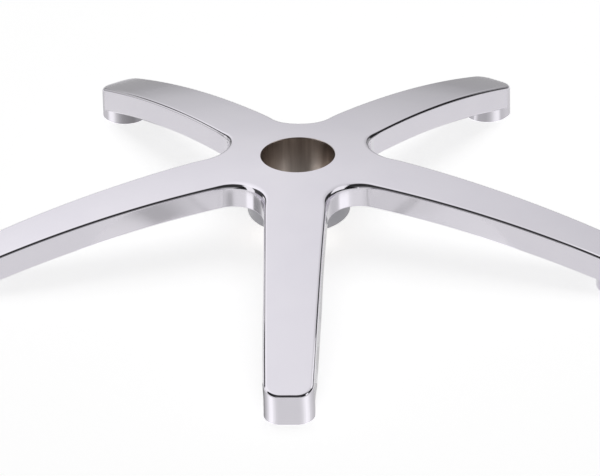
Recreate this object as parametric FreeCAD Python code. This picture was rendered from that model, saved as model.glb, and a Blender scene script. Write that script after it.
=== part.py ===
import FreeCAD, Part
import math
import os

Vector = FreeCAD.Vector

# Five star base of a swivel chair: one aluminium casting, machined in the hub and in the
# caster bosses. Millimetres, +Z up. The origin is on the hub axis at the hub's lower face,
# and one arm points to -Y.

# Column seat in the hub: a 1:20 cone that narrows downwards onto a short round land
SEAT_TOP_DIAMETER = 50.0
SEAT_CONE_RATIO = 20.0
SEAT_LAND_LENGTH = 10.0
SEAT_MOUTH_CHAMFER = 0.4
HUB_HEIGHT = 42.0
HUB_TUBE_DIAMETER = 70.0
HUB_TUBE_DRAFT_DEG = 1.0
HUB_TUBE_EDGE_RADIUS = 1.5

# Star outline, measured in the plane of the caster boss faces
ARM_COUNT = 5
FIRST_ARM_DEG = -90.0
ARM_REACH = 240.8
ARM_ROOT_WIDTH = 48.3
ARM_TIP_WIDTH = 31.6
ARM_CORNER_RADIUS = 11.3
WEB_CORNER_RADIUS = 22.7
OUTER_DRAFT_DEG = 1.2

# Crown: the top of hub and arms is one arc turned about the hub axis
CROWN_SLOPE_AT_SEAT_DEG = 3.2
CROWN_DROP_AT_TIP = 41.67
TOP_EDGE_RADIUS = 2.5

# Open underside
TOP_SKIN = 4.0
SIDE_WALL = 3.8
SKIRT_DEPTH_AT_HUB = 16.9
SKIRT_DEPTH_AT_TIP = 17.5

# Ribs cast under the arms
SPINE_RIB_THICKNESS = 3.0
CROSS_RIB_THICKNESS = 2.6
CROSS_RIB_PITCH = 30.0
WEB_RIB_THICKNESS = 3.0
RIB_RECESS = 3.0

# Caster bosses and the blind sockets for the caster stems
BOSS_FACE_BELOW_HUB = 20.4
BOSS_DIAMETER = 30.6
BOSS_INSET_FROM_TIP = 14.4
SOCKET_DIAMETER = 11.0
SOCKET_DEPTH = 22.0
SOCKET_MOUTH_CHAMFER = 0.8

# Worked out from the sizes above. The crown's arc passes from the seat's mouth to the tip with
# the stated slope at the mouth, so its chord leans by the mean of its two end slopes.
SEAT_RADIUS = SEAT_TOP_DIAMETER / 2
CROWN_RUN = ARM_REACH - SEAT_RADIUS
CROWN_START = math.radians(CROWN_SLOPE_AT_SEAT_DEG)
CROWN_END = 2 * math.atan(CROWN_DROP_AT_TIP / CROWN_RUN) - CROWN_START
CROWN_ARC_RADIUS = CROWN_RUN / (math.sin(CROWN_END) - math.sin(CROWN_START))
ARM_STEP_DEG = 360.0 / ARM_COUNT
BOSS_FACE_Z = -BOSS_FACE_BELOW_HUB
BOSS_CENTRE = ARM_REACH - BOSS_INSET_FROM_TIP
CUT_MARGIN = 5.0
NEAR = 0.01
ABOVE_ALL = HUB_HEIGHT + CUT_MARGIN
BELOW_ALL = BOSS_FACE_Z - CUT_MARGIN
PAST_TIP = ARM_REACH + CUT_MARGIN
BEYOND_TIP = PAST_TIP + CUT_MARGIN
UP = Vector(0, 0, 1)
AXIS_FOOT = Vector(0, 0, 0)


def crown_z(radius, drop_at_hub=0.0, drop_at_tip=0.0):
    """Height of the crown arc at a radius, lowered by a depth that grows evenly from hub to tip."""
    run = radius - SEAT_RADIUS
    fall = math.sin(CROWN_START) + run / CROWN_ARC_RADIUS
    z = HUB_HEIGHT - CROWN_ARC_RADIUS * (math.cos(CROWN_START) - math.sqrt(1 - fall * fall))
    share = run / CROWN_RUN
    return z - drop_at_hub - (drop_at_tip - drop_at_hub) * share


def under_crown(drop_at_hub=0.0, drop_at_tip=0.0):
    """Solid of revolution below the crown arc, down past the boss faces."""

    def on_arc(radius):
        return Vector(radius, 0, crown_z(radius, drop_at_hub, drop_at_tip))

    inner, outer = on_arc(0), on_arc(BEYOND_TIP)
    arc = Part.Arc(inner, on_arc(BEYOND_TIP / 2), outer).toShape()
    foot_outer = Vector(BEYOND_TIP, 0, BELOW_ALL)
    foot_inner = Vector(0, 0, BELOW_ALL)
    rim = Part.LineSegment(outer, foot_outer).toShape()
    floor = Part.LineSegment(foot_outer, foot_inner).toShape()
    axis = Part.LineSegment(foot_inner, inner).toShape()
    return Part.Face(Part.Wire([arc, rim, floor, axis])).revolve(AXIS_FOOT, UP, 360)


def turned(point, degrees):
    """A point turned about the hub axis."""
    a = math.radians(degrees)
    x = point.x * math.cos(a) - point.y * math.sin(a)
    y = point.x * math.sin(a) + point.y * math.cos(a)
    return Vector(x, y, point.z)


def star_corners(grow):
    """Sharp corners of the star grown sideways, in order, each with the radius that rounds it."""
    slope = math.atan((ARM_ROOT_WIDTH - ARM_TIP_WIDTH) / 2 / ARM_REACH)
    root_half = ARM_ROOT_WIDTH / 2 + grow / math.cos(slope)
    reach = ARM_REACH + grow
    tip_half = root_half - reach * math.tan(slope)
    half_step = math.radians(ARM_STEP_DEG / 2)
    web_x = root_half / (math.tan(half_step) + math.tan(slope))
    web = Vector(web_x, -web_x * math.tan(half_step), 0)
    low_tip = Vector(reach, -tip_half, 0)
    high_tip = Vector(reach, tip_half, 0)
    corners = []
    for i in range(ARM_COUNT):
        at = FIRST_ARM_DEG + i * ARM_STEP_DEG
        corners.append((turned(web, at), WEB_CORNER_RADIUS - grow))
        corners.append((turned(low_tip, at), ARM_CORNER_RADIUS + grow))
        corners.append((turned(high_tip, at), ARM_CORNER_RADIUS + grow))
    return corners


def rounded_wire(corners, z):
    """Closed wire of straight runs joined by tangent arcs, at a height."""
    arcs = []
    for i, (corner, radius) in enumerate(corners):
        before = (corners[i - 1][0] - corner).normalize()
        after = (corners[(i + 1) % len(corners)][0] - corner).normalize()
        half = before.getAngle(after) / 2
        start = corner + before * (radius / math.tan(half))
        end = corner + after * (radius / math.tan(half))
        middle = corner + (before + after).normalize() * (radius / math.sin(half) - radius)
        arcs.append([start, middle, end])
    lift = Vector(0, 0, z)
    edges = []
    for i, (start, middle, end) in enumerate(arcs):
        edges.append(Part.Arc(start + lift, middle + lift, end + lift).toShape())
        following = arcs[(i + 1) % len(arcs)][0]
        edges.append(Part.LineSegment(end + lift, following + lift).toShape())
    return Part.Wire(edges)


def drafted_star(inset=0.0):
    """Star prism that leans inwards as it rises, with its walls set in from the outer ones."""
    wires = []
    for z in (BELOW_ALL, ABOVE_ALL):
        lean = (z - BOSS_FACE_Z) * math.tan(math.radians(OUTER_DRAFT_DEG))
        wires.append(rounded_wire(star_corners(-inset - lean), z))
    return Part.makeLoft(wires, True, True)


def around(shape):
    """One copy of a shape for each arm, turned about the hub axis."""
    copies = []
    for i in range(ARM_COUNT):
        copy = shape.copy()
        copy.rotate(AXIS_FOOT, UP, FIRST_ARM_DEG + i * ARM_STEP_DEG)
        copies.append(copy)
    return copies


def hub_tube():
    """Drafted tube blank of the hub, still without its bore."""
    low_radius = HUB_TUBE_DIAMETER / 2
    high_radius = low_radius + ABOVE_ALL * math.tan(math.radians(HUB_TUBE_DRAFT_DEG))
    tube = Part.makeCone(low_radius, high_radius, ABOVE_ALL)
    foot = [e for e in tube.Edges if abs(e.BoundBox.ZMax) < NEAR]
    return tube.makeFillet(HUB_TUBE_EDGE_RADIUS, foot)


def boss_zone():
    """Round space that a caster boss keeps of the arm along +X."""
    height = ABOVE_ALL - BOSS_FACE_Z
    return Part.makeCylinder(BOSS_DIAMETER / 2, height, Vector(BOSS_CENTRE, 0, BOSS_FACE_Z))


def rib(start_x, length, thickness, along_arm):
    """Tall rib blank in the arm along +X, set along the arm or across it."""
    height = ABOVE_ALL - BELOW_ALL
    if along_arm:
        return Part.makeBox(length, thickness, height, Vector(start_x, -thickness / 2, BELOW_ALL))
    corner = Vector(start_x - thickness / 2, -ARM_ROOT_WIDTH / 2, BELOW_ALL)
    return Part.makeBox(thickness, ARM_ROOT_WIDTH, height, corner)


def arm_ribs():
    """Spine rib from hub to boss, cross ribs at an even pitch, and a rib into the web corner."""
    tube_radius = HUB_TUBE_DIAMETER / 2
    spine_start = tube_radius - SIDE_WALL
    boss_start = BOSS_CENTRE - BOSS_DIAMETER / 2
    ribs = [rib(spine_start, BOSS_CENTRE - spine_start, SPINE_RIB_THICKNESS, True)]
    first = tube_radius + CROSS_RIB_PITCH
    count = int((boss_start - first) / CROSS_RIB_PITCH) + 1
    for i in range(count):
        ribs.append(rib(first + i * CROSS_RIB_PITCH, 0, CROSS_RIB_THICKNESS, False))
    web_rib = rib(spine_start, ARM_ROOT_WIDTH, WEB_RIB_THICKNESS, True)
    web_rib.rotate(AXIS_FOOT, UP, ARM_STEP_DEG / 2)
    return ribs + [web_rib]


def crowned_star():
    """The star under its crown, with the rounded edge between crown and walls."""
    star = drafted_star().common(under_crown())
    crown_edges = []
    for edge in star.Edges:
        ends = [v.Point for v in edge.Vertexes]
        if all(abs(p.z - crown_z(math.hypot(p.x, p.y))) < NEAR for p in ends):
            crown_edges.append(edge)
    return star.makeFillet(TOP_EDGE_RADIUS, crown_edges)


def outer_blank():
    """The casting from outside: crowned star with skirt, hub tube and bosses, not hollow yet."""
    star = crowned_star()
    skirt = star.cut(under_crown(SKIRT_DEPTH_AT_HUB, SKIRT_DEPTH_AT_TIP))
    bosses = [star.common(zone) for zone in around(boss_zone())]
    return skirt.fuse(bosses + [hub_tube().common(star)]).removeSplitter()


def underside_core():
    """What the die leaves out under the skin: the inner star without tube, bosses and ribs."""
    core = drafted_star(SIDE_WALL).common(under_crown(TOP_SKIN, TOP_SKIN))
    below_ribs = under_crown(SKIRT_DEPTH_AT_HUB - RIB_RECESS, SKIRT_DEPTH_AT_TIP - RIB_RECESS)
    ribs = []
    for blank in arm_ribs():
        ribs += around(blank.cut(below_ribs))
    return core.cut([hub_tube()] + around(boss_zone()) + ribs)


def column_seat():
    """Bore of the hub: round land below, cone above it, chamfered mouth."""
    top_radius = SEAT_RADIUS
    cone_length = HUB_HEIGHT - SEAT_LAND_LENGTH
    land_radius = top_radius - cone_length / SEAT_CONE_RATIO / 2
    land_start = Vector(0, 0, -CUT_MARGIN)
    land = Part.makeCylinder(land_radius, SEAT_LAND_LENGTH + CUT_MARGIN, land_start)
    cone = Part.makeCone(land_radius, top_radius, cone_length, Vector(0, 0, SEAT_LAND_LENGTH))
    chamfer_start = Vector(0, 0, HUB_HEIGHT - SEAT_MOUTH_CHAMFER)
    wide = top_radius + SEAT_MOUTH_CHAMFER + CUT_MARGIN
    chamfer = Part.makeCone(top_radius, wide, SEAT_MOUTH_CHAMFER + CUT_MARGIN, chamfer_start)
    return land.fuse([cone, chamfer])


def caster_socket():
    """Blind stem socket in the boss of the arm along +X, with a chamfered mouth."""
    radius = SOCKET_DIAMETER / 2
    below = Vector(BOSS_CENTRE, 0, BOSS_FACE_Z - CUT_MARGIN)
    hole = Part.makeCylinder(radius, SOCKET_DEPTH + CUT_MARGIN, below)
    wide = radius + SOCKET_MOUTH_CHAMFER
    mouth_start = Vector(BOSS_CENTRE, 0, BOSS_FACE_Z)
    mouth = Part.makeCone(wide, radius, SOCKET_MOUTH_CHAMFER, mouth_start)
    return hole.fuse(mouth)


def star_base_casting():
    """The finished casting."""
    body = outer_blank().cut(underside_core())
    body = body.cut([column_seat()] + around(caster_socket()))
    return body.removeSplitter()


os.makedirs("parts", exist_ok=True)
casting = star_base_casting()
casting.exportStep("parts/star_base_casting.step")
box = casting.BoundBox
print("solids", len(casting.Solids), "faces", len(casting.Faces), "valid", casting.isValid())
print("volume cm3", round(casting.Volume / 1000, 1))
print("size", round(box.XLength, 1), round(box.YLength, 1), round(box.ZLength, 1))
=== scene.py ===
"""Looks of the five star base of a swivel chair, worked out around its packed casting.

Sizes are in millimetres, as in the part's source, and become metres when a mesh is filled.
The origin is on the hub axis at the hub's lower face, and one arm points to -Y.
"""

import enum
import logging
import math
from collections.abc import Callable
from dataclasses import dataclass, field
from functools import partial
from typing import Any

import bpy
import numpy as np
from mathutils import Matrix


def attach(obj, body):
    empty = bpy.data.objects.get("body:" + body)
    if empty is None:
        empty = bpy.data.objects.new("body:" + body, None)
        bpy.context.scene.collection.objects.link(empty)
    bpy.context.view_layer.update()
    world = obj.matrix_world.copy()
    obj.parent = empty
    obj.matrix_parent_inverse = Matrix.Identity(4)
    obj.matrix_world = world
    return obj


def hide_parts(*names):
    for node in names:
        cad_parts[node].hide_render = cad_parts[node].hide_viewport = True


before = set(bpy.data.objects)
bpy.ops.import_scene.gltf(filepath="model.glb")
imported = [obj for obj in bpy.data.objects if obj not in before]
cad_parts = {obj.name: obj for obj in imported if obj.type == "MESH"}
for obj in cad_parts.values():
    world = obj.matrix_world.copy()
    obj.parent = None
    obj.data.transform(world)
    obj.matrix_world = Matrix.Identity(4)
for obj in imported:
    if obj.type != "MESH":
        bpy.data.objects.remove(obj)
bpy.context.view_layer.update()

LOG = logging.getLogger("star_base")
CAD_NODE = "star_base_casting"
MM = 0.001
PHOTO_WIDTH = 600
SENSOR_WIDTH = 36.0
# Passes that bring a section point onto a curved surface
SETTLE_PASSES = 6
Adder = Callable[..., Any]
Array = np.ndarray
Material = bpy.types.Material
Levels = tuple[tuple[float, float], ...]


class Region(enum.IntEnum):
    """Which finish a face of the casting has, as an index of its material slots."""

    POLISHED = 0
    AS_CAST = 1
    MACHINED = 2


def linear(hex_code: str) -> tuple[float, float, float, float]:
    """Turns an sRGB hex colour into Blender's linear colour.

    Args:
        hex_code: Six hex digits, with or without a leading hash.

    Returns:
        Red, green, blue and an alpha of 1.
    """
    digits = hex_code.lstrip("#")
    parts = [int(digits[i : i + 2], 16) / 255 for i in (0, 2, 4)]
    curve = [p / 12.92 if p <= 0.04045 else ((p + 0.055) / 1.055) ** 2.4 for p in parts]
    return (curve[0], curve[1], curve[2], 1.0)


def add_node(tree: bpy.types.NodeTree, kind: str, feeds: dict | None = None, **settings: Any) -> Any:
    """Adds one node with its settings, its socket values and its links.

    Args:
        tree: The node tree that gets the node.
        kind: The node's type name.
        feeds: Socket name or index to a value, to a socket, or to a node whose first output is linked.
        **settings: The node's own properties.

    Returns:
        The new node.
    """
    made = tree.nodes.new(kind)
    for name, value in settings.items():
        setattr(made, name, value)
    for key, value in (feeds or {}).items():
        source = value.outputs[0] if isinstance(value, bpy.types.Node) else value
        if isinstance(source, bpy.types.NodeSocket):
            tree.links.new(source, made.inputs[key])
        else:
            made.inputs[key].default_value = source
    return made


def cleared(owner: Material | bpy.types.World) -> Adder:
    """Empties the node tree of a material or of the world.

    Args:
        owner: The material or the world.

    Returns:
        The function that adds a node to that tree.
    """
    owner.use_nodes = True
    owner.node_tree.nodes.clear()
    return partial(add_node, owner.node_tree)


def new_piece(name: str, points: Array, faces: list, *materials: Material) -> bpy.types.Object:
    """Fills a mesh from points and faces and links its piece, which sits at the origin.

    Args:
        name: Name of the piece and of its mesh.
        points: Vertices in millimetres, a row for each.
        faces: Vertex numbers of each face.
        *materials: The piece's materials, in the order of their slots.

    Returns:
        The new piece.
    """
    mesh = bpy.data.meshes.new(name)
    mesh.from_pydata((points * MM).tolist(), [], faces)
    for material in materials:
        mesh.materials.append(material)
    piece = bpy.data.objects.new(name, mesh)
    bpy.context.scene.collection.objects.link(piece)
    return piece


@dataclass(frozen=True)
class Crown:
    """The arc turned about the hub axis that the tops of hub and arms lie on."""

    height: float = 42.0
    start_radius: float = 25.0
    start_slope_deg: float = 3.2
    drop_at_tip: float = 41.67
    reach: float = 240.8
    skirt_at_hub: float = 16.9
    skirt_at_tip: float = 17.5
    skin: float = 4.0

    @property
    def arc_radius(self) -> float:
        """Radius of the arc through mouth and tip: its chord leans by the mean end slope.

        Returns:
            The radius in millimetres.
        """
        run = self.reach - self.start_radius
        start = math.radians(self.start_slope_deg)
        end = 2 * math.atan(self.drop_at_tip / run) - start
        return run / (math.sin(end) - math.sin(start))

    def _fall(self, radius: Array) -> Array:
        """Sine of the arc's slope angle: it grows evenly with the radius."""
        start = math.sin(math.radians(self.start_slope_deg))
        return start + (radius - self.start_radius) / self.arc_radius

    def top(self, radius: Array) -> Array:
        """Height of the crown: the arc's chord fall taken from the hub's height."""
        start = math.cos(math.radians(self.start_slope_deg))
        return self.height - self.arc_radius * (start - np.sqrt(1 - self._fall(radius) ** 2))

    def slope(self, radius: Array) -> Array:
        """Rise of the crown per unit of radius, which is negative outwards."""
        fall = self._fall(radius)
        return -fall / np.sqrt(1 - fall**2)

    def roof(self, radius: Array) -> Array:
        """Height of the skin's underside."""
        return self.top(radius) - self.skin

    def rim(self, radius: Array) -> Array:
        """Height of the skirt's lower edge: the skirt deepens evenly from hub to tip."""
        share = (radius - self.start_radius) / (self.reach - self.start_radius)
        return self.top(radius) - self.skirt_at_hub - (self.skirt_at_tip - self.skirt_at_hub) * share


@dataclass
class Columns:
    """Places round a closed line in plan, each with its outward direction."""

    at: Array
    out: Array

    @classmethod
    def joined(cls, *lines: "Columns") -> "Columns":
        """Several lines, one after the other."""
        return cls(np.concatenate([part.at for part in lines]), np.concatenate([part.out for part in lines]))

    def turned(self, turn: Array, chosen: Array | slice = slice(None)) -> "Columns":
        """The chosen places, turned about the hub axis."""
        return Columns(self.at[chosen] @ turn, self.out[chosen] @ turn)

    @property
    def along(self) -> Array:
        """Unit direction along the line, counter-clockwise."""
        return np.stack([-self.out[:, 1], self.out[:, 0]], axis=1)

    def place(self, offset: Array) -> Array:
        """Plan points at an outward offset from the line."""
        return self.at + self.out * np.broadcast_to(offset, self.at.shape[:1])[:, None]

    def radius(self, offset: Array) -> Array:
        """Distance of those points from the hub axis."""
        return np.linalg.norm(self.place(offset), axis=1)


@dataclass
class Band:
    """Rows of surface points and normals, one column for each place round the line."""

    points: Array
    normals: Array
    region: Region


@dataclass(frozen=True)
class StarOutline:
    """The star's plan outline in the plane of the caster boss faces."""

    arm_count: int = 5
    first_arm_deg: float = -90.0
    reach: float = 240.8
    root_width: float = 48.3
    tip_width: float = 31.6
    corner_radius: float = 11.3
    web_radius: float = 22.7
    side_steps: int = 42
    arc_steps: int = 12
    end_steps: int = 6

    @property
    def taper(self) -> float:
        """Angle between an arm's side and its axis."""
        return math.atan((self.root_width - self.tip_width) / 2 / self.reach)

    def half_width(self, x: Array) -> Array:
        """Half the arm's width at a distance from the hub axis."""
        return self.root_width / 2 - np.asarray(x) * math.tan(self.taper)

    @staticmethod
    def unit(angle: Array) -> Array:
        """Unit plan directions for an array of angles."""
        return np.stack([np.cos(angle), np.sin(angle)], axis=-1)

    def corner_centre(self) -> tuple[float, float]:
        """Centre of the round at the tip's upper corner."""
        x = self.reach - self.corner_radius
        return x, float(self.half_width(x)) - self.corner_radius / math.cos(self.taper)

    def sector(self) -> Columns:
        """One arm along +X, from the middle of one web arc to the middle of the next.

        Each run is given by the angle of its outward direction: an arc's points lie at its
        radius from the centre along or against that direction, and a straight run keeps one.

        Returns:
            The columns of one fifth of the star.
        """
        half_step = math.pi / self.arm_count
        side_angle = math.pi / 2 - self.taper
        web_x = self.root_width / 2 / (math.tan(half_step) + math.tan(self.taper))
        away = web_x / math.cos(half_step) + self.web_radius / math.sin(half_step + self.taper)
        web_angles = np.linspace(half_step, side_angle, self.arc_steps)
        web = away * self.unit(half_step) - self.web_radius * self.unit(web_angles)
        corner_angles = np.linspace(side_angle, 0.0, self.arc_steps)
        centre = np.array(self.corner_centre())
        corner = centre + self.corner_radius * self.unit(corner_angles)
        share = np.linspace(0, 1, self.side_steps)[1:-1, None]
        side = web[-1] + (corner[0] - web[-1]) * share
        end = corner[-1] * [1, 0] + np.linspace(corner[-1][1], 0, self.end_steps)[1:, None] * [0, 1]
        at = np.concatenate([web, side, corner, end])
        angles = np.concatenate(
            [web_angles, np.full(len(side), side_angle), corner_angles, np.zeros(len(end))]
        )
        both = np.concatenate([at[:-1] * [1, -1], at[:0:-1]])
        return Columns(both, self.unit(np.concatenate([-angles[:-1], angles[:0:-1]])))

    def turn(self, arm: float) -> Array:
        """Matrix that turns plan rows from the arm along +X to an arm by its number."""
        a = math.radians(self.first_arm_deg) + arm * 2 * math.pi / self.arm_count
        return np.array([[math.cos(a), math.sin(a)], [-math.sin(a), math.cos(a)]])

    def whole(self) -> Columns:
        """All five sectors, one after the other."""
        part = self.sector()
        return Columns.joined(*(part.turned(self.turn(arm)) for arm in range(self.arm_count)))


def round_off(
    corner: Array | complex, back: Array | complex, ahead: Array | complex, radius: Array | float, steps: int
) -> tuple[Array, Array]:
    """Rounds a corner of a section drawn as complex numbers, outward offset plus i times height.

    The arc's centre is on the bisector of both runs, at the radius over the sine of half the
    angle between them, and the arc turns evenly from one run's foot to the other's.

    Args:
        corner: Sharp corner, one for all columns or one for each, as with what follows.
        back: Unit direction from the corner along the run before it.
        ahead: Unit direction from the corner along the run after it.
        radius: Radius of the round.
        steps: Number of rows.

    Returns:
        Points and outward directions from the centre, a row for each step.
    """
    both = back + ahead
    sine = np.abs(back - ahead) / 2
    cosine = np.abs(both) / 2
    centre = corner + both / np.abs(both) * radius / sine
    start = (corner + back * radius * cosine / sine - centre) / radius
    end = (corner + ahead * radius * cosine / sine - centre) / radius
    swept = np.angle(end / start)
    share = np.linspace(0, 1, steps)[:, None]
    rays = start * np.exp(1j * swept * share)
    return centre + radius * rays, rays


def between(first: Array, last: Array, steps: int) -> Array:
    """Rows strictly between two rows, evenly spread."""
    share = np.linspace(0, 1, steps + 2)[1:-1]
    return first + (last - first) * share.reshape(-1, *[1] * np.ndim(first))


def unit_rows(vectors: Array) -> Array:
    """Vectors of any array made one unit long."""
    return vectors / np.linalg.norm(vectors, axis=-1, keepdims=True)


def eased(share: Array) -> Array:
    """Shares from 0 to 1 that start and end softly."""
    return share * share * (3 - 2 * share)


def strip_faces(count: int) -> list:
    """Quads between a row of points and the next row as long."""
    first = np.arange(count - 1)
    return np.stack([first, first + 1, first + 1 + count, first + count], axis=1).tolist()


def outwards_on(slope: Array | float) -> Array:
    """Unit section direction that goes outwards on a slope."""
    return (1 + 1j * slope) / np.abs(1 + 1j * slope)


def carry(
    columns: Columns, section: Array, normal: Array | complex, region: Region, tilt: Array | float = 0.0
) -> Band:
    """Sets section rows upright on their columns.

    A point goes its offset outwards in plan and has its height. Where the section's edge
    climbs along the line by tilt, the upright part of its normal leans back by as much.

    Args:
        columns: The places round the line.
        section: Complex rows, offset plus i times height, with one value or one for each column.
        normal: Unit normals, for each point or for all.
        region: The finish.
        tilt: Climb of the edge per unit along the line.

    Returns:
        The band of points and normals.
    """
    shape = (len(section), len(columns.at))
    section, normal = np.broadcast_to(section, shape), np.broadcast_to(normal, shape)
    flat = columns.at + columns.out * section.real[..., None]
    points = np.concatenate([flat, section.imag[..., None]], axis=-1)
    lean = columns.along * np.broadcast_to(tilt, shape[1])[:, None]
    across = columns.out * normal.real[..., None] - lean * normal.imag[..., None]
    normals = np.concatenate([across, normal.imag[..., None]], axis=-1)
    return Band(points, unit_rows(normals), region)


@dataclass
class MeshParts:
    """Vertices, normals and faces that are gathered before they go into one mesh."""

    points: list[Array] = field(default_factory=list)
    normals: list[Array] = field(default_factory=list)
    faces: list[list[int]] = field(default_factory=list)
    regions: list[int] = field(default_factory=list)
    count: int = 0

    def grid(self, bands: list[Band], *poles: Array) -> None:
        """Adds bands as one grid whose columns close on themselves.

        Args:
            bands: The bands in order; the faces after a band's last row have the next one's finish.
            *poles: Points with their normals that close the first and the last row with a fan each.
                Without them the last row joins the first.
        """
        points = np.concatenate([b.points for b in bands])
        normals = np.concatenate([b.normals for b in bands])
        row_region = np.concatenate([np.full(len(b.points), int(b.region)) for b in bands])
        rows, columns = points.shape[:2]
        index = np.arange(rows * columns).reshape(rows, columns) + self.count
        low = index[:-1] if poles else index
        high = np.roll(index, -1, axis=0)[: len(low)]
        quads = np.stack([low, np.roll(low, -1, 1), np.roll(high, -1, 1), high], axis=-1)
        face_region = np.roll(row_region, -1)[: len(low)]
        corner = points.reshape(-1, 3)[quads - self.count]
        facing = np.cross(corner[..., 2, :] - corner[..., 0, :], corner[..., 3, :] - corner[..., 1, :])
        agree = np.sum(facing * normals.reshape(-1, 3)[quads[..., 0] - self.count])
        if agree < 0:
            quads = quads[..., ::-1]
        self.faces += quads.reshape(-1, 4).tolist()
        self.regions += np.repeat(face_region, columns).tolist()
        self.points.append(points.reshape(-1, 3))
        self.normals.append(normals.reshape(-1, 3))
        self.count += rows * columns
        for pole, row, flip in zip(poles, (0, -1), (agree > 0, agree < 0)):
            tip = np.full(columns, self.count)
            fan = np.stack([index[row], np.roll(index[row], -1), tip], axis=-1)
            self.faces += (fan[:, ::-1] if flip else fan).tolist()
            self.regions += [int(row_region[row])] * columns
            self.points.append(pole[None, :3])
            self.normals.append(pole[None, 3:])
            self.count += 1

    def build(self, name: str, materials: list[Material]) -> None:
        """Builds the piece with smooth faces that keep the worked-out normals.

        It rides on the casting's body and stands for its solid, which is hidden.

        Args:
            name: The piece's name.
            materials: One material for each region, in their order.
        """
        piece = new_piece(name, np.concatenate(self.points), self.faces, *materials)
        mesh = piece.data
        mesh.polygons.foreach_set("material_index", self.regions)
        mesh.polygons.foreach_set("use_smooth", [True] * len(self.faces))
        mesh.validate()
        mesh.update()
        mesh.normals_split_custom_set_from_vertices(unit_rows(np.concatenate(self.normals)).tolist())
        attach(piece, "root")
        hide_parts(CAD_NODE)
        LOG.info("%s: %d vertices, %d faces", name, len(mesh.vertices), len(mesh.polygons))


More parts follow.
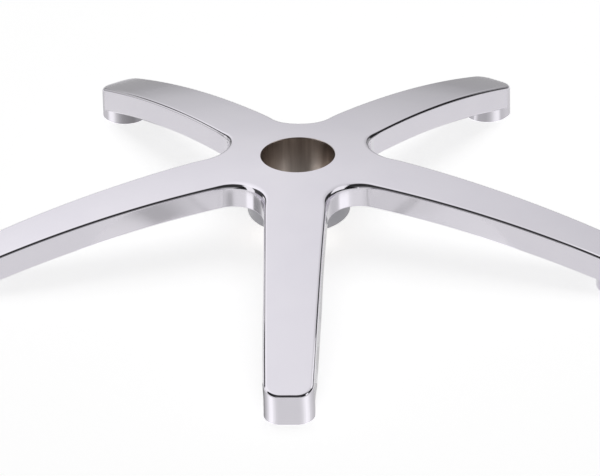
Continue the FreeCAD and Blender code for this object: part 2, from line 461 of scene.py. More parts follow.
@dataclass
class StarCasting:
    """Crowned skin, skirt, cavity and hub tube of the casting, as one closed surface."""

    crown: Crown = Crown()
    outline: StarOutline = StarOutline()
    boss_face: float = -20.4
    draft_deg: float = 1.2
    side_flare: float = 0.042
    flare_starts: tuple[float, float] = (112.0, 165.0)
    flare_ends: tuple[float, float] = (212.0, 228.0)
    wall: float = 3.8
    top_edge_radius: float = 2.5
    web_edge_extra: float = 2.4
    web_ends: float = 72.0
    rim_edge_radius: float = 0.7
    roof_fillet: float = 2.5
    tube_radius: float = 35.0
    tube_draft_deg: float = 1.0
    tube_fillet: float = 2.5
    tube_edge_radius: float = 1.5
    land_radius: float = 24.2
    land_length: float = 10.0
    seat_radius: float = 25.0
    chamfer: float = 0.4
    machined_edge: float = 0.15
    crown_rows: int = 34
    roof_rows: int = 22
    edge_rows: int = 12
    wall_rows: int = 3
    inner_rows: int = 2
    rim_rows: int = 5
    fillet_rows: int = 7
    tube_rows: int = 6
    break_rows: int = 3
    seat_rows: int = 7

    def edge_radii(self, columns: Columns) -> Array:
        """Top edge radius: it grows smoothly towards the middle of a web arc.

        Args:
            columns: The places round the star.

        Returns:
            A radius for each column.
        """
        radius = columns.radius(0.0)
        share = np.clip((self.web_ends - radius) / (self.web_ends - radius.min()), 0, 1)
        return self.top_edge_radius + self.web_edge_extra * eased(share)

    def lean(self, columns: Columns) -> Array:
        """Tangent of the outer wall's lean: the draft, and a flare between the webs and the tips.

        Args:
            columns: The places round the star.

        Returns:
            A tangent for each column.
        """
        radius = columns.radius(0.0)
        share = np.interp(radius, [*self.flare_starts, *self.flare_ends], [0, 1, 1, 0])
        return math.tan(math.radians(self.draft_deg)) + self.side_flare * eased(share)

    def wall_meets(self, columns: Columns, inset: float, surface: Any) -> Array:
        """Finds where the leaning wall meets a surface of revolution.

        At its upper edge the wall has come in from the outline by the draft alone, and from there
        it goes out by its lean. The height is read off the surface at the new radius in each pass.

        Args:
            columns: The places round the star.
            inset: How far the wall lies inside the outer one.
            surface: Height of the surface as a function of the radius.

        Returns:
            Section point of each column, outward offset plus i times height.
        """
        draft, lean = math.tan(math.radians(self.draft_deg)), self.lean(columns)
        radius = columns.radius(0.0)
        edge = self.crown.top(radius)
        height = surface(radius)
        for _ in range(SETTLE_PASSES):
            offset = -inset - (edge - self.boss_face) * draft + (edge - height) * lean
            height = surface(columns.radius(offset))
        return offset + 1j * height

    def run(self, columns: Columns, point: Array, rim: bool = False) -> tuple[Array, Array]:
        """Finds how the crown or the skirt's rim runs at a section point.

        Its slope is radial, and goes outwards and along the line by the radius' share in each.

        Args:
            columns: The places round the star.
            point: Section point of each column.
            rim: True for the skirt's rim, which falls a little faster than the crown.

        Returns:
            Unit section direction outwards on it, and its climb along the line.
        """
        place = columns.place(point.real)
        radius = np.linalg.norm(place, axis=1)
        radial = place / radius[:, None]
        slope = self.crown.slope(radius)
        if rim:
            span = self.crown.reach - self.crown.start_radius
            slope = slope - (self.crown.skirt_at_tip - self.crown.skirt_at_hub) / span
        outwards = outwards_on(slope * np.sum(radial * columns.out, axis=1))
        return outwards, slope * np.sum(radial * columns.along, axis=1)

    def on_crown(self, rays: Array, start: Array, end: Array, steps: int, roof: bool) -> Band:
        """Rows on the crown or the roof: each point is on its ray, between two radii.

        Args:
            rays: Unit plan direction of each column.
            start: Radius at the first row.
            end: Radius at the last row.
            steps: Number of rows between the two, which aren't in it.
            roof: True for the skin's underside, which faces down.

        Returns:
            The band.
        """
        radius = between(start, end, steps)
        height = self.crown.roof(radius) if roof else self.crown.top(radius)
        points = np.concatenate([rays * radius[..., None], height[..., None]], axis=-1)
        slope = self.crown.slope(radius)[..., None]
        normals = np.concatenate([-slope * rays, np.ones_like(slope)], axis=-1)
        region = Region.AS_CAST if roof else Region.POLISHED
        return Band(points, unit_rows(normals) * (-1 if roof else 1), region)

    def skirt(self, columns: Columns) -> list[Band]:
        """Rounded top edge, outer wall, lower rim, inner wall and roof fillet.

        Args:
            columns: The places round the star.

        Returns:
            The bands from the crown's edge to the roof.
        """
        lean = self.lean(columns)
        down = (lean - 1j) / np.abs(lean - 1j)
        top = self.wall_meets(columns, 0.0, self.crown.top)
        crown_out, tilt = self.run(columns, top)
        edge, edge_out = round_off(top, -crown_out, down, self.edge_radii(columns), self.edge_rows)
        foot = self.wall_meets(columns, 0.0, self.crown.rim)
        rim_out, rim_tilt = self.run(columns, foot, rim=True)
        outer, outer_out = round_off(foot, -down, -rim_out, self.rim_edge_radius, self.rim_rows)
        heel = self.wall_meets(columns, self.wall, self.crown.rim)
        inner, inner_out = round_off(heel, rim_out, -down, self.rim_edge_radius, self.rim_rows)
        inside = self.wall_meets(columns, self.wall, self.crown.roof)
        roof_out, roof_tilt = self.run(columns, inside)
        root, root_out = round_off(inside, down, -roof_out, self.roof_fillet, self.fillet_rows)
        return [
            carry(columns, edge, edge_out, Region.POLISHED, tilt),
            carry(columns, between(edge[-1], outer[0], self.wall_rows), down * 1j, Region.POLISHED),
            carry(columns, outer, outer_out, Region.POLISHED, rim_tilt),
            carry(columns, inner, inner_out, Region.AS_CAST, rim_tilt),
            carry(columns, between(inner[-1], root[0], self.inner_rows), -down * 1j, Region.AS_CAST),
            carry(columns, root, -root_out, Region.AS_CAST, roof_tilt),
        ]

    def hub(self, low_angles: Array, high_angles: Array) -> list[Band]:
        """Tube root, tube wall, foot, bore land, seat cone and mouth, turned about the axis.

        Args:
            low_angles: Polar angle of each column at the tube.
            high_angles: Polar angle of each column at the bore's mouth.

        Returns:
            The bands from the roof to the crown.
        """
        crown, sharp = self.crown, self.machined_edge
        tube_down = -1j * np.exp(-1j * math.radians(self.tube_draft_deg))
        tube = self.tube_radius
        for _ in range(SETTLE_PASSES):
            tube = self.tube_radius + crown.roof(tube) * math.tan(math.radians(self.tube_draft_deg))
        corner = tube + 1j * crown.roof(tube)
        root, root_out = round_off(corner, outwards_on(crown.slope(tube)), tube_down, self.tube_fillet,
                                   self.tube_rows)
        foot, foot_out = round_off(self.tube_radius, -tube_down, -1, self.tube_edge_radius, self.tube_rows)
        lip, lip_out = round_off(self.land_radius, 1, 1j, sharp, self.break_rows)
        land_top = self.land_radius + 1j * self.land_length
        bevel_low = self.seat_radius + 1j * (crown.height - self.chamfer)
        cone = (bevel_low - land_top) / abs(bevel_low - land_top)
        bevel = np.exp(1j * math.pi / 4)
        mouth_low, low_out = round_off(bevel_low, -cone, bevel, sharp, self.break_rows)
        seat = between(np.array([land_top]), mouth_low[0], self.seat_rows)
        bevel_high = bevel_low
        for _ in range(SETTLE_PASSES):
            bevel_high = bevel_high + (crown.top(bevel_high.real) - bevel_high.imag) * (1 + 1j)
        crown_out = outwards_on(crown.slope(bevel_high.real))
        mouth_high, high_out = round_off(bevel_high, -bevel, crown_out, sharp, self.break_rows)
        # Round the hub the columns turn from their angle at the tube to their angle at the mouth
        turn = (high_angles - low_angles + math.pi) % (2 * math.pi) - math.pi
        low, middle, top = (
            Columns(np.zeros((len(angles), 2)), StarOutline.unit(angles))
            for angles in (low_angles, low_angles + turn / 2, high_angles)
        )
        return [
            carry(low, root, -root_out, Region.AS_CAST),
            carry(low, between(root[-1], foot[0], self.wall_rows), 1j * tube_down, Region.AS_CAST),
            carry(low, foot, foot_out, Region.AS_CAST),
            carry(low, lip, lip_out, Region.MACHINED),
            carry(middle, np.array([[land_top]]), -1, Region.MACHINED),
            carry(top, seat, 1j * cone, Region.MACHINED),
            carry(top, mouth_low, low_out, Region.MACHINED),
            carry(top, mouth_high, high_out, Region.MACHINED),
        ]

    def build(self, materials: list[Material]) -> None:
        """Builds the closed surface as one piece.

        Args:
            materials: One material for each region.
        """
        columns = self.outline.whole()
        skirt = self.skirt(columns)
        edge_start = skirt[0].points[0, :, :2]
        roof_start = skirt[-1].points[-1, :, :2]
        high_angles = np.arctan2(edge_start[:, 1], edge_start[:, 0])
        low_angles = np.arctan2(roof_start[:, 1], roof_start[:, 0])
        hub = self.hub(low_angles, high_angles)
        mouth = np.linalg.norm(hub[-1].points[-1, :, :2], axis=1)
        root = np.linalg.norm(hub[0].points[0, :, :2], axis=1)
        top = self.on_crown(StarOutline.unit(high_angles), mouth, np.linalg.norm(edge_start, axis=1),
                            self.crown_rows, roof=False)
        roof = self.on_crown(StarOutline.unit(low_angles), np.linalg.norm(roof_start, axis=1), root,
                             self.roof_rows, roof=True)
        parts = MeshParts()
        parts.grid([top, *skirt, roof, *hub])
        parts.build("star_casting_skin", materials)


@dataclass
class UndersideRibs:
    """Ribs cast under the arms: one along each, some across, and one into each web corner."""

    casting: StarCasting
    spine: float = 3.0
    cross: float = 2.6
    web: float = 3.0
    pitch: float = 30.0
    recess: float = 3.0
    root_radius: float = 2.0
    crest_radius: float = 0.9
    buried: float = 1.0
    station: float = 6.0
    boss_start: float = 211.1
    end_in_boss: float = 217.0
    web_rib_end: float = 50.0
    share_of_wall_left: float = 0.6
    fewest_stations: int = 3
    root_rows: int = 5
    crest_rows: int = 4

    def bar(self, parts: MeshParts, start: Array, end: Array, thickness: float) -> None:
        """Adds one rib: a section with flared root and round crest, carried along its length.

        Args:
            parts: The mesh parts that get it.
            start: Plan point of one end.
            end: Plan point of the other end.
            thickness: The rib's thickness between root and crest.
        """
        crown = self.casting.crown
        length = float(np.linalg.norm(end - start))
        count = max(self.fewest_stations, int(length / self.station) + 1)
        forward = (end - start) / length
        side = np.array([-forward[1], forward[0]])
        line = start + forward * np.linspace(0, length, count)[:, None]
        middle = np.linalg.norm(line, axis=1)
        roof, crest = crown.roof(middle), crown.rim(middle) + self.recess
        half = thickness / 2
        root, root_out = round_off(half + 1j * roof, 1, -1j, self.root_radius, self.root_rows)
        tip, tip_out = round_off(half + 1j * crest, 1j, -1, self.crest_radius, self.crest_rows)
        cap = (half + self.root_radius) + 1j * (roof + self.buried)
        right = np.concatenate([cap[None], root, tip])
        right_out = np.concatenate([np.full((1, count), 1j), -root_out, tip_out])
        section = np.concatenate([right, -right[::-1].conj()])
        normal = np.concatenate([right_out, -right_out[::-1].conj()])
        strip = carry(Columns(line, np.tile(side, (count, 1))), section, normal, Region.AS_CAST)
        stations = Band(strip.points.transpose(1, 0, 2), strip.normals.transpose(1, 0, 2), strip.region)
        first, last = (np.concatenate([stations.points[i].mean(0), [*(forward * sign), 0.0]])
                       for i, sign in ((0, -1), (-1, 1)))
        parts.grid([stations], first, last)

    def build(self, materials: list[Material]) -> None:
        """Builds every rib in one piece.

        Args:
            materials: One material for each region.
        """
        parts = MeshParts()
        outline = self.casting.outline
        inside = self.casting.tube_radius - self.casting.wall
        crossings = np.arange(self.casting.tube_radius + self.pitch, self.boss_start, self.pitch)
        web_line = outline.unit(math.pi / outline.arm_count)
        for arm in range(outline.arm_count):
            turn = outline.turn(arm)
            runs = [(np.array([inside, 0.0]), np.array([self.end_in_boss, 0.0]), self.spine)]
            for x in crossings:
                reach = float(outline.half_width(x)) - self.casting.wall * self.share_of_wall_left
                runs.append((np.array([x, -reach]), np.array([x, reach]), self.cross))
            runs.append((web_line * inside, web_line * self.web_rib_end, self.web))
            for start, end, thickness in runs:
                self.bar(parts, start @ turn, end @ turn, thickness)
        parts.build("underside_ribs", materials)


@dataclass
class CasterBoss:
    """Round boss under an arm's tip with the blind socket for a caster stem."""

    casting: StarCasting
    centre: float = 226.4
    clear_of_wall: float = 0.04
    lean_deg: float = 1.2
    foot_radius: float = 0.6
    socket_radius: float = 5.5
    socket_depth: float = 22.0
    socket_chamfer: float = 0.8
    edge: float = 0.2
    outline_start: float = 0.4
    floor_inset: float = 0.4
    side_rows: int = 2
    foot_rows: int = 6
    edge_rows: int = 3
    back_steps: int = 49
    in_skin: float = 2.0
    names: tuple[str, ...] = ("front", "right", "rear_right", "rear_left", "left")

    def ring(self) -> Columns:
        """Edge of the boss of the arm along +X, flush with the tip's wall at its lower edge.

        Ahead of the centre it is the star's own outline, and behind it the arc about the centre
        that both sides of the arm touch.

        Returns:
            Its columns, counter-clockwise.
        """
        outline = self.casting.outline
        radius = float(outline.half_width(self.centre)) * math.cos(outline.taper)
        tip = outline.sector()
        ahead = tip.at[:, 0] > self.centre + radius * math.sin(outline.taper) + self.outline_start
        first = math.pi / 2 - outline.taper
        rays = outline.unit(np.linspace(first, 2 * math.pi - first, self.back_steps))
        back = Columns(np.array([self.centre, 0.0]) + radius * rays, rays)
        ring = Columns.joined(Columns(tip.at[ahead], tip.out[ahead]), back)
        return Columns(ring.place(-self.clear_of_wall), ring.out)

    def build(self, arm: int, materials: list[Material]) -> None:
        """Builds the boss of one arm: its side, rounded foot, face and socket as rings.

        Args:
            arm: The arm's number.
            materials: One material for each region.
        """
        wall = self.ring()
        centre = np.array([self.centre, 0.0])
        angle = np.arctan2(wall.at[:, 1], wall.at[:, 0] - self.centre)
        socket = Columns(np.tile(centre, (len(angle), 1)), StarOutline.unit(angle))
        face = self.casting.boss_face
        down = np.exp(1j * (math.radians(self.lean_deg) - math.pi / 2))
        top_height = self.casting.crown.top(wall.radius(0.0)) - self.in_skin
        foot, foot_out = round_off(1j * face, -down, -1, self.foot_radius, self.foot_rows)
        top = foot[0] - down * (top_height - foot[0].imag)
        side = np.concatenate([top[None], between(top, foot[0], self.side_rows)])
        rim_low = self.socket_radius + self.socket_chamfer + 1j * face
        rim_high = self.socket_radius + 1j * (face + self.socket_chamfer)
        bevel = np.exp(0.75j * math.pi)
        mouth, mouth_out = round_off(rim_low, 1, bevel, self.edge, self.edge_rows)
        throat, throat_out = round_off(rim_high, -bevel, 1j, self.edge, self.edge_rows)
        end = self.socket_radius + 1j * (face + self.socket_depth)
        bands = [
            carry(wall, side, 1j * down, Region.POLISHED),
            carry(wall, foot, foot_out, Region.POLISHED),
            carry(socket, mouth, mouth_out, Region.MACHINED),
            carry(socket, throat, throat_out, Region.MACHINED),
            carry(socket, np.array([[end], [end - self.floor_inset]]), np.array([[-1], [-1j]]),
                  Region.MACHINED),
        ]
        turn = self.casting.outline.turn(arm)
        for band in bands:
            band.points[..., :2] = band.points[..., :2] @ turn
            band.normals[..., :2] = band.normals[..., :2] @ turn
        cap = np.array([*(centre @ turn), top_height.min(), 0.0, 0.0, 1.0])
        floor = np.array([*(centre @ turn), face + self.socket_depth, 0.0, 0.0, -1.0])
        parts = MeshParts()
        parts.grid(bands, cap, floor)
        parts.build(f"caster_boss_{self.names[arm]}", materials)


@dataclass(frozen=True)
class MetalFinish:
    """What the casting's finishes share: two tints of one metal, a roughness and a fine relief."""

    name: str
    tints: tuple[str, str]
    roughness: float
    relief: float
    relief_mm: float

    def patterns(self, add: Adder, where: Any) -> tuple[Any, Any, Any]:
        """Adds the finish's own patterns.

        Args:
            add: The function that adds a node to the material.
            where: Socket with the place on the casting, in metres.

        Returns:
            Nodes or sockets with the second tint's share, the roughness and the relief's height.
        """
        raise NotImplementedError

    def material(self) -> Material:
        """Makes the material: its patterns mix the tints, set the roughness and raise the relief.

        Returns:
            The new material.
        """
        made = bpy.data.materials.new(self.name)
        add = cleared(made)
        share, rough, height = self.patterns(add, add("ShaderNodeTexCoord").outputs["Object"])
        first, second = map(linear, self.tints)
        tint = add("ShaderNodeMix", {"Factor": share, "A": first, "B": second}, data_type="RGBA")
        bump = add("ShaderNodeBump", {
            "Height": height, "Strength": self.relief, "Distance": self.relief_mm * MM,
        })
        metal = add("ShaderNodeBsdfPrincipled", {
            "Base Color": tint.outputs["Result"], "Metallic": 1.0, "Roughness": rough, "Normal": bump,
        })
        add("ShaderNodeOutputMaterial", {"Surface": metal})
        return made


@dataclass(frozen=True)
class PolishedAluminium(MetalFinish):
    """Cast aluminium buffed to a mirror: soft grey reflections, faint haze and buffing lines."""

    name: str = "polished_cast_aluminium"
    tints: tuple[str, str] = ("#DEDBE1", "#D6D3DB")
    roughness: float = 0.075
    relief: float = 0.035
    relief_mm: float = 1.0
    haze: float = 0.05
    haze_mm: float = 38.0
    # Real buffing lines are about a tenth of this apart, and are drawn as coarse as they need to show
    line_mm: float = 1.4
    line_share: float = 0.35
    ripple_mm: float = 17.0
    noise_span: tuple[float, float] = (0.35, 0.65)

    def patterns(self, add: Adder, where: Any) -> tuple[Any, Any, Any]:
        """Clouds and fine lines blur the mirror here and there, and ripples bend what it shows.

        Args:
            add: The function that adds a node to the material.
            where: Socket with the place on the casting, in metres.

        Returns:
            The clouds for the tint, the roughness, and the ripples for the relief.
        """
        cloud, line, ripple = (
            add("ShaderNodeTexNoise", {"Vector": where, "Scale": 1 / (size * MM), "Detail": detail})
            for size, detail in ((self.haze_mm, 3.0), (self.line_mm, 2.0), (self.ripple_mm, 1.0))
        )
        both = add("ShaderNodeMix", {"Factor": self.line_share, "A": cloud, "B": line})
        rough = add("ShaderNodeMapRange", {
            "Value": both, "From Min": self.noise_span[0], "From Max": self.noise_span[1],
            "To Min": self.roughness, "To Max": self.roughness + self.haze,
        })
        return cloud, rough, ripple


@dataclass(frozen=True)
class AsCastAluminium(MetalFinish):
    """Underside as it leaves the die: satin grey with a fine sandy skin and flow clouds."""

    name: str = "as_cast_aluminium"
    tints: tuple[str, str] = ("#B9B8BC", "#9C9BA0")
    roughness: float = 0.42
    relief: float = 0.25
    relief_mm: float = 0.3
    unevenness: float = 0.08
    # The real grit is finer, and is drawn as coarse as it needs to show
    grit_mm: float = 0.9
    cloud_mm: float = 24.0

    def patterns(self, add: Adder, where: Any) -> tuple[Any, Any, Any]:
        """Clouds show how the metal flowed, in tone and in sheen, and grit makes it sparkle dully.

        Args:
            add: The function that adds a node to the material.
            where: Socket with the place on the casting, in metres.

        Returns:
            The clouds for the tint, the roughness, and the grit for the relief.
        """
        cloud, grit = (
            add("ShaderNodeTexNoise", {"Vector": where, "Scale": 1 / (size * MM), "Detail": detail})
            for size, detail in ((self.cloud_mm, 5.0), (self.grit_mm, 4.0))
        )
        rough = add("ShaderNodeMapRange", {
            "Value": cloud, "To Min": self.roughness - self.unevenness,
            "To Max": self.roughness + self.unevenness,
        })
        return cloud, rough, grit


@dataclass(frozen=True)
class TurnedAluminium(MetalFinish):
    """Bore, sockets and faces turned bare: dark warm grey, partly the metal's own tone and partly painted
    shade inside the holes, with fine turning rings and painted highlight streaks.
    """

    name: str = "turned_aluminium"
    # Darker than the polished tints: the turned metal's own warm grey, darkened further as painted shade for
    # the inside of bore and sockets
    tints: tuple[str, str] = ("#9F948D", "#C2B7AF")
    roughness: float = 0.3
    relief: float = 0.15
    relief_mm: float = 0.1
    smoother: float = 0.08
    rougher: float = 0.1
    # Real tool marks are about 0.2 mm apart, and are drawn as coarse as they need to show
    ring_mm: float = 0.9
    ring_scale: float = 0.314
    ring_unrest: float = 0.4
    streak_mm: float = 6.5
    streak_stretch: float = 0.08
    painted_highlight_span: tuple[float, float] = (0.36, 0.64)

    def patterns(self, add: Adder, where: Any) -> tuple[Any, Any, Any]:
        """Upright streaks of the lighter tint are painted highlights on the wall, and rings catch light as
        tool marks do.

        Args:
            add: The function that adds a node to the material.
            where: Socket with the place on the casting, in metres.

        Returns:
            The painted highlight streaks for the tint, the roughness, and the rings for the relief.
        """
        upright = add("ShaderNodeMapping", {"Vector": where, "Scale": (1.0, 1.0, self.streak_stretch)})
        streak = add("ShaderNodeTexNoise", {
            "Vector": upright, "Scale": 1 / (self.streak_mm * MM), "Detail": 3.0,
        })
        # The lighter tint in upright streaks paints highlight streaks on the bore wall
        spread = add("ShaderNodeMapRange", {
            "Value": streak, "From Min": self.painted_highlight_span[0], "From Max": self.painted_highlight_span[1],
        })
        rough = add("ShaderNodeMapRange", {
            "Value": streak, "To Min": self.roughness - self.smoother,
            "To Max": self.roughness + self.rougher,
        })
        rings = add("ShaderNodeTexWave", {
            "Vector": where, "Scale": self.ring_scale / (self.ring_mm * MM),
            "Distortion": self.ring_unrest, "Detail": 2.0,
        }, bands_direction="Z")
        return spread, rough, rings.outputs["Fac"]


def glow(name: str, level: float | None = None) -> Material:
    """Makes a material that shines evenly, or by its mesh's own levels where no level is given.

    Args:
        name: The material's name.
        level: Strength of the light where it is the same all over.

    Returns:
        The new material.
    """
    made = bpy.data.materials.new(name)
    add = cleared(made)
    if level is None:
        level = add("ShaderNodeAttribute", attribute_name="level").outputs["Fac"]
    light = add("ShaderNodeEmission", {"Strength": level})
    add("ShaderNodeOutputMaterial", {"Surface": light})
    return made


def stage_piece(name: str, points: Array, faces: list, material: Material, hidden: bool = True) -> Any:
    """Makes a piece of the stage, which isn't part of the object.

    Args:
        name: The piece's name.
        points: Vertices in millimetres, a row for each.
        faces: Vertex numbers of each face.
        material: Its material.
        hidden: True where only reflections see it.

    Returns:
        The piece's mesh.
    """
    piece = new_piece(name, points, faces, material)
    if hidden:
        piece.visible_camera = False
        piece.visible_diffuse = False
        piece.visible_shadow = False
    return piece.data


@dataclass(frozen=True)
class MirrorCard:
    """Card laid on the table along the rays that a polished wall sends down from the camera.

    The levels follow the wall's facing, in degrees from -Y towards +X, so that the wall shows
    them as upright stripes that run softly into each other.
    """

    name: str
    wall: Columns
    low: Array | float
    high: Array | float
    levels: Levels
    lean: Array | float

    def build(self, height: float, eye: tuple[float, float, float]) -> None:
        """Makes the card as a strip of quads with a brightness for each of its columns.

        The ray is the view from the camera, less twice its share along the wall's normal.

        Args:
            height: Height of the card.
            eye: Place of the camera.
        """
        facing = np.degrees(np.arctan2(self.wall.out[:, 0], -self.wall.out[:, 1]))
        angles, levels = np.array(self.levels).T
        order = np.argsort(facing, kind="stable")
        order = order[(facing[order] >= angles[0]) & (facing[order] <= angles[-1])]
        at, count = self.wall.at[order], len(order)
        low, high, lean = (np.broadcast_to(v, len(facing))[order] for v in (self.low, self.high, self.lean))
        normal = unit_rows(np.column_stack([self.wall.out[order], lean]))
        ends = []
        for z in (low, high):
            view = np.column_stack([at, z]) - np.array(eye)
            ray = view - 2 * np.sum(view * normal, axis=1, keepdims=True) * normal
            ends.append(at + ray[:, :2] * ((height - z) / ray[:, 2])[:, None])
        points = np.column_stack([np.concatenate(ends), np.full(2 * count, height)])
        mesh = stage_piece(self.name, points, strip_faces(count), glow(self.name))
        level = mesh.attributes.new("level", "FLOAT", "POINT")
        level.data.foreach_set("value", np.tile(np.interp(facing[order], angles, levels), 2))


@dataclass(frozen=True)
class SidePanel:
    """Upright light panel beside the table, which breaks or thins a dark line at the star's edge."""

    x: float
    y: tuple[float, float]
    z: tuple[float, float]
    level: float

    def build(self, number: int) -> None:
        """Stands the panel up.

        Args:
            number: Its number, which goes into its name.
        """
        points = np.array([[self.x, self.y[i], self.z[j]] for i, j in ((0, 0), (1, 0), (1, 1), (0, 1))])
        name = f"side_panel_{number}"
        stage_piece(name, points, [[0, 1, 2, 3]], glow(name, self.level))


@dataclass
class Studio:
    """White table in a soft tent, with the dark of the room behind the camera."""

    floor_height: float = -20.4
    floor_radius: float = 9000.0
    floor_colour: str = "#F4F4F4"
    floor_glow: float = 0.77
    mirrored_glow: float = 0.67
    round_steps: int = 96
    lamp_power: float = 5.6
    lamp_size: float = 1600.0
    lamp_place: tuple[float, float, float] = (100.0, 250.0, 1700.0)
    tent_light: float = 0.1
    tent_blue: float = 1.01
    # A bright panel over the object widens with height and shines more to the left; beside it the
    # room is dark
    panel_half_width: float = 0.25
    panel_widening: float = 0.7
    panel_soft_edge: float = 0.06
    room_dark: float = 0.05
    left_lift: float = 0.42
    side_panels: tuple[SidePanel, ...] = (
        SidePanel(-430.0, (-285.0, -75.0), (5.0, 600.0), 1.2),
        SidePanel(-430.0, (190.0, 350.0), (5.0, 190.0), 0.95),
        SidePanel(-430.0, (350.0, 700.0), (5.0, 150.0), 0.62),
        SidePanel(430.0, (430.0, 900.0), (5.0, 170.0), 0.36),
        SidePanel(285.0, (-190.0, 30.0), (120.0, 420.0), 1.2),
        SidePanel(120.0, (-327.0, -280.0), (5.0, 100.0), 1.2),
    )
    rail_radius: float = 420.0
    rail_height: float = 36.0
    rail_grey: float = 0.44
    # For the cards: the camera's place, heights over the table and under the tube, the reach of web
    # corners, the depth of a tip in corner radii, and what is added to or left of a wall's height
    eye: tuple[float, float, float] = (71.6, -1866.0, 1027.0)
    card_lift: float = 0.3
    under_tube: float = -1.0
    web_reach: float = 66.0
    tip_depth: float = 1.25
    over_tip: float = 2.0
    under_rim: float = 3.0
    under_crown: float = 5.0
    bore_arc: tuple[float, float, float] = (10.0, 171.0, 2.0)
    bore_lit_to: float = 27.0
    # Brightness that each polished wall shows against its facing
    front_tip: Levels = (
        (-90, 0.2), (-75, 0.34), (-62, 0.62), (-50, 0.9), (-42, 1.26), (-36, 1.46), (-29, 1.36),
        (-22, 1.06), (-15, 0.9), (-9, 0.85), (9, 0.85), (15, 0.9), (21, 1.04), (28, 1.24),
        (34, 1.38), (40, 1.26), (46, 1.03), (56, 0.82), (70, 0.68), (90, 0.48),
    )
    front_sides: Levels = ((-95, 0.6), (95, 0.6))
    left_web: Levels = (
        (-88, 0.5), (-74, 0.95), (-64, 0.5), (-56, 0.38), (-45, 0.38), (-43, 0.9), (-41, 1.36), (-31, 1.36),
        (-28, 0.96), (-8, 0.94), (-6, 0.56), (5, 0.56), (8, 0.88), (18, 0.9),
    )
    right_web: Levels = (
        (-18, 0.84), (0, 0.86), (3, 0.95), (21, 0.98), (25, 1.34), (42, 1.34), (46, 0.74), (60, 0.7),
        (78, 0.86), (88, 0.55),
    )
    rear_left_boss: Levels = (
        (-80, 0.7), (-56, 0.72), (-50, 0.84), (-46, 1.15), (-42, 1.28), (-33, 1.24), (-28, 1.08),
        (-23, 0.78), (-15, 0.56), (-7, 0.42), (0, 0.37), (12, 0.32), (24, 0.29), (34, 0.38), (70, 0.5),
    )
    rear_right_boss: Levels = (
        (-70, 0.5), (-40, 0.7), (-36, 1.2), (-31, 0.9), (-25, 0.58), (-5, 0.55), (1, 0.62), (7, 0.72),
        (13, 0.94), (19, 1.16), (25, 1.24), (30, 1.22), (33, 1.0), (36, 0.72), (46, 0.74), (56, 0.8),
        (80, 0.7),
    )
    rear_left_tip: Levels = ((-88, 0.66), (-70, 0.7), (-60, 0.76), (-55, 0.84))
    rear_right_tip: Levels = ((55, 0.85), (62, 0.8), (88, 0.75))
    bore_wall: Levels = (
        (-75, 0.7), (-38, 0.4), (-35, 3.2), (-30, 3.2), (-26, 0.27), (21, 0.27), (24, 1.5), (27, 1.5),
        (30, 0.6), (75, 0.8),
    )
    # Brightness of the tent against the angle over the top, from the rear horizon at 0
    tent: Levels = (
        (0.0, 0.42), (6.0, 0.63), (14.0, 0.76), (24.0, 0.88), (33.0, 0.97), (52.0, 1.03),
        (96.0, 1.06), (107.0, 0.04), (150.0, 0.04), (161.0, 0.3), (176.0, 0.6), (180.0, 0.6),
    )

    def floor(self) -> None:
        """Pale round table top that carries the caster bosses and keeps the shadow."""
        made = bpy.data.materials.new("white_table")
        add = cleared(made)
        path = add("ShaderNodeLightPath")
        seen = add("ShaderNodeMath", {
            0: path.outputs["Is Glossy Ray"], 1: path.outputs["Is Transmission Ray"],
        }, operation="ADD", use_clamp=True)
        mirrored = add("ShaderNodeMath", {0: seen, 1: self.mirrored_glow}, operation="MULTIPLY")
        level = add("ShaderNodeMath", {
            0: path.outputs["Is Camera Ray"], 1: self.floor_glow, 2: mirrored,
        }, operation="MULTIPLY_ADD")
        paper = add("ShaderNodeBsdfDiffuse", {"Color": linear(self.floor_colour)})
        light = add("ShaderNodeEmission", {"Strength": level})
        both = add("ShaderNodeAddShader", {0: paper, 1: light})
        add("ShaderNodeOutputMaterial", {"Surface": both})
        angles = np.linspace(0, 2 * math.pi, self.round_steps, endpoint=False)
        ring = np.column_stack([StarOutline.unit(angles) * self.floor_radius,
                                np.full(self.round_steps, self.floor_height)])
        stage_piece("floor", ring, [list(range(self.round_steps))], made, hidden=False)

    def rail(self) -> None:
        """Low grey rail behind the table: the rear tips mirror it instead of the far white."""
        count = self.round_steps
        ring = StarOutline.unit(np.linspace(0, math.pi, count)) * self.rail_radius
        low = np.column_stack([ring, np.full(count, self.floor_height)])
        points = np.concatenate([low, low + [0, 0, self.rail_height]])
        stage_piece("rail", points, strip_faces(count), glow("rail", self.rail_grey))

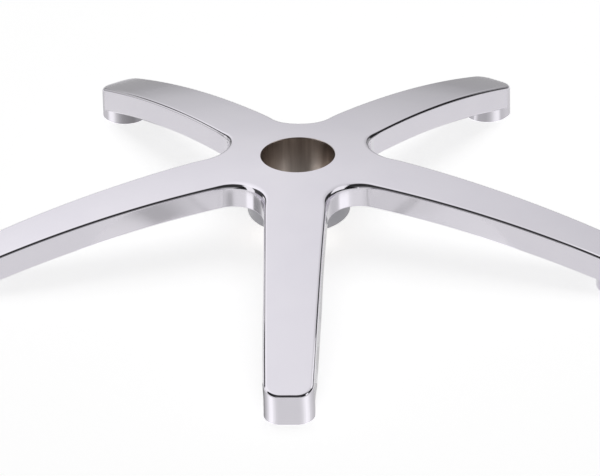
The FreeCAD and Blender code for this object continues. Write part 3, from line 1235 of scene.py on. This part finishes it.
    def cards(self, casting: StarCasting) -> None:
        """Lays cards for the front arm, the rear tips and bosses, the front web corners and the bore.

        Args:
            casting: The casting whose walls mirror them.
        """
        outline, crown = casting.outline, casting.crown
        sector, boss = outline.sector(), CasterBoss(casting).ring()
        turns = [outline.turn(arm) for arm in range(outline.arm_count)]
        front, rear_right, rear_left = turns[0], turns[2], turns[3]
        table = self.floor_height + self.card_lift
        tip = sector.at[:, 0] > outline.reach - self.tip_depth * outline.corner_radius
        web = sector.radius(0.0) < self.web_reach
        low_side, high_side = sector.at[:, 1] < 0, sector.at[:, 1] > 0
        tip_rim, tip_top = crown.rim(sector.at[tip, 0]), crown.top(sector.at[tip, 0])
        over_top, boss_top = tip_top + self.over_tip, crown.rim(boss.at[:, 0])
        placed = {
            "front_tip": (sector.turned(front, tip), table, tip_top, self.front_tip),
            "rear_left_boss": (boss.turned(rear_left), table, boss_top, self.rear_left_boss),
            "rear_right_boss": (boss.turned(rear_right), table, boss_top, self.rear_right_boss),
            "rear_left_tip": (sector.turned(rear_left, tip), tip_rim, over_top, self.rear_left_tip),
            "rear_right_tip": (sector.turned(rear_right, tip), tip_rim, over_top, self.rear_right_tip),
        }
        for name, arm, levels in (("left_web", 0, self.left_web), ("right_web", 1, self.right_web)):
            wall = Columns.joined(sector.turned(turns[arm - 1], web & high_side),
                                  sector.turned(turns[arm], web & low_side))
            away = wall.radius(0.0)
            ends = crown.rim(away) - self.under_rim, crown.top(away) - self.under_crown
            placed[name] = (wall, *ends, levels)
        for name, half in (("front_arm_left", low_side), ("front_arm_right", high_side)):
            wall = sector.turned(front, ~web & ~tip & half)
            placed[name] = (wall, table, crown.top(wall.radius(0.0)), self.front_sides)
        for name, (wall, low, high, levels) in placed.items():
            MirrorCard(f"card_{name}", wall, low, high, levels, casting.lean(wall)).build(table, self.eye)
        rays = outline.unit(np.radians(np.arange(*self.bore_arc)))
        bore = Columns(rays * casting.seat_radius, -rays)
        card = MirrorCard("card_bore_wall", bore, 0.0, self.bore_lit_to, self.bore_wall, 0.0)
        card.build(self.under_tube, self.eye)

    def tent_world(self) -> None:
        """Tent by direction: the angle over the top from the rear horizon picks its brightness."""
        bpy.context.scene.world = bpy.data.worlds.new("tent")
        add = cleared(bpy.context.scene.world)
        split = add("ShaderNodeSeparateXYZ", {0: add("ShaderNodeTexCoord").outputs["Generated"]})
        angle = add("ShaderNodeMath", {0: split.outputs["Z"], 1: split.outputs["Y"]}, operation="ARCTAN2")
        share = add("ShaderNodeMath", {0: angle, 1: math.pi}, operation="DIVIDE", use_clamp=True)
        ramp = add("ShaderNodeValToRGB", {"Fac": share})
        stops = ramp.color_ramp.elements
        ready = len(stops)
        for i, (degrees, value) in enumerate(self.tent):
            stop = stops[i] if i < ready else stops.new(degrees / 180)
            stop.position = degrees / 180
            stop.color = (value, value, value * self.tent_blue, 1.0)
        sideways = add("ShaderNodeMath", {0: split.outputs["X"]}, operation="ABSOLUTE")
        past = add("ShaderNodeMath", {
            0: split.outputs["Z"], 1: -self.panel_widening, 2: sideways,
        }, operation="MULTIPLY_ADD")
        inside = add("ShaderNodeMapRange", {
            "Value": past, "To Min": 1.0, "To Max": self.room_dark, "From Min": self.panel_half_width,
            "From Max": self.panel_half_width + self.panel_soft_edge,
        })
        leaning = add("ShaderNodeMath", {
            0: split.outputs["X"], 1: -self.left_lift, 2: 1.0,
        }, operation="MULTIPLY_ADD")
        even = add("ShaderNodeMath", {0: inside, 1: leaning}, operation="MULTIPLY")
        panel = add("ShaderNodeVectorMath", {0: ramp, "Scale": even}, operation="SCALE")
        path = add("ShaderNodeLightPath")
        mirrored = add("ShaderNodeMix", {
            "Factor": path.outputs["Is Glossy Ray"], "A": (self.tent_light,) * 3 + (1.0,), "B": panel,
        }, data_type="RGBA")
        seen = add("ShaderNodeMix", {
            "Factor": path.outputs["Is Camera Ray"], "A": mirrored.outputs["Result"], "B": (1.0,) * 4,
        }, data_type="RGBA")
        sky = add("ShaderNodeBackground", {"Color": seen.outputs["Result"]})
        add("ShaderNodeOutputWorld", {"Surface": sky})

    def lamp(self) -> None:
        """One wide soft lamp overhead, which lights the table and lays the shadow."""
        data = bpy.data.lights.new("overhead", "AREA")
        data.shape = "DISK"
        data.size = self.lamp_size * MM
        data.energy = self.lamp_power
        lamp = bpy.data.objects.new("overhead", data)
        lamp.location = [place * MM for place in self.lamp_place]
        lamp.visible_glossy = False
        bpy.context.scene.collection.objects.link(lamp)

    def build(self, casting: StarCasting) -> None:
        """Sets up the table with its rail, panels and cards, the tent and the lamp.

        Args:
            casting: The casting whose walls mirror the cards.
        """
        self.floor()
        self.rail()
        for number, panel in enumerate(self.side_panels):
            panel.build(number)
        self.cards(casting)
        self.tent_world()
        self.lamp()


@dataclass(frozen=True)
class PhotoCamera:
    """Camera at the photograph's place, worked out from the star's corners in it."""

    distance: float = 2111.28
    elevation_deg: float = 27.8152
    azimuth_deg: float = 2.1983
    roll_deg: float = -1.3058
    pitch_deg: float = -1.5326
    yaw_deg: float = 0.0068
    focal_px: float = 3119.36
    target_height: float = 42.0

    def build(self) -> None:
        """Places the camera: a look at the hub's top, then pitched, yawed and rolled a little."""
        el, az = math.radians(self.elevation_deg), math.radians(self.azimuth_deg)
        away = np.array([math.sin(az) * math.cos(el), -math.cos(az) * math.cos(el), math.sin(el)])
        right = unit_rows(np.cross(-away, [0, 0, 1]))
        axes = np.array([right, np.cross(right, -away), -away])
        for degrees, first, second in ((self.pitch_deg, 2, 1), (self.yaw_deg, 2, 0), (self.roll_deg, 0, 1)):
            turn = np.eye(3)
            turn[first, first] = turn[second, second] = math.cos(math.radians(degrees))
            turn[first, second] = math.sin(math.radians(degrees))
            turn[second, first] = -turn[first, second]
            axes = turn @ axes
        place = (away * self.distance + [0, 0, self.target_height]) * MM
        data = bpy.data.cameras.new("photo_camera")
        data.sensor_width = SENSOR_WIDTH
        data.lens = self.focal_px / PHOTO_WIDTH * SENSOR_WIDTH
        camera = bpy.data.objects.new("photo_camera", data)
        turned = np.eye(4)
        turned[:3, :4] = np.column_stack([axes[0], axes[1], -axes[2], place])
        camera.matrix_world = Matrix(turned.tolist())
        bpy.context.scene.collection.objects.link(camera)
        bpy.context.scene.camera = camera


def main() -> None:
    """Builds camera, studio and the casting's pieces in order."""
    logging.basicConfig(level=logging.INFO, format="%(name)s %(message)s")
    bpy.context.scene.view_settings.view_transform = "Standard"
    PhotoCamera().build()
    casting = StarCasting()
    Studio().build(casting)
    finishes = (PolishedAluminium(), AsCastAluminium(), TurnedAluminium())
    materials = [finish.material() for finish in finishes]
    casting.build(materials)
    UndersideRibs(casting).build(materials)
    boss = CasterBoss(casting)
    for arm in range(casting.outline.arm_count):
        boss.build(arm, materials)


if __name__ == "__main__":
    main()
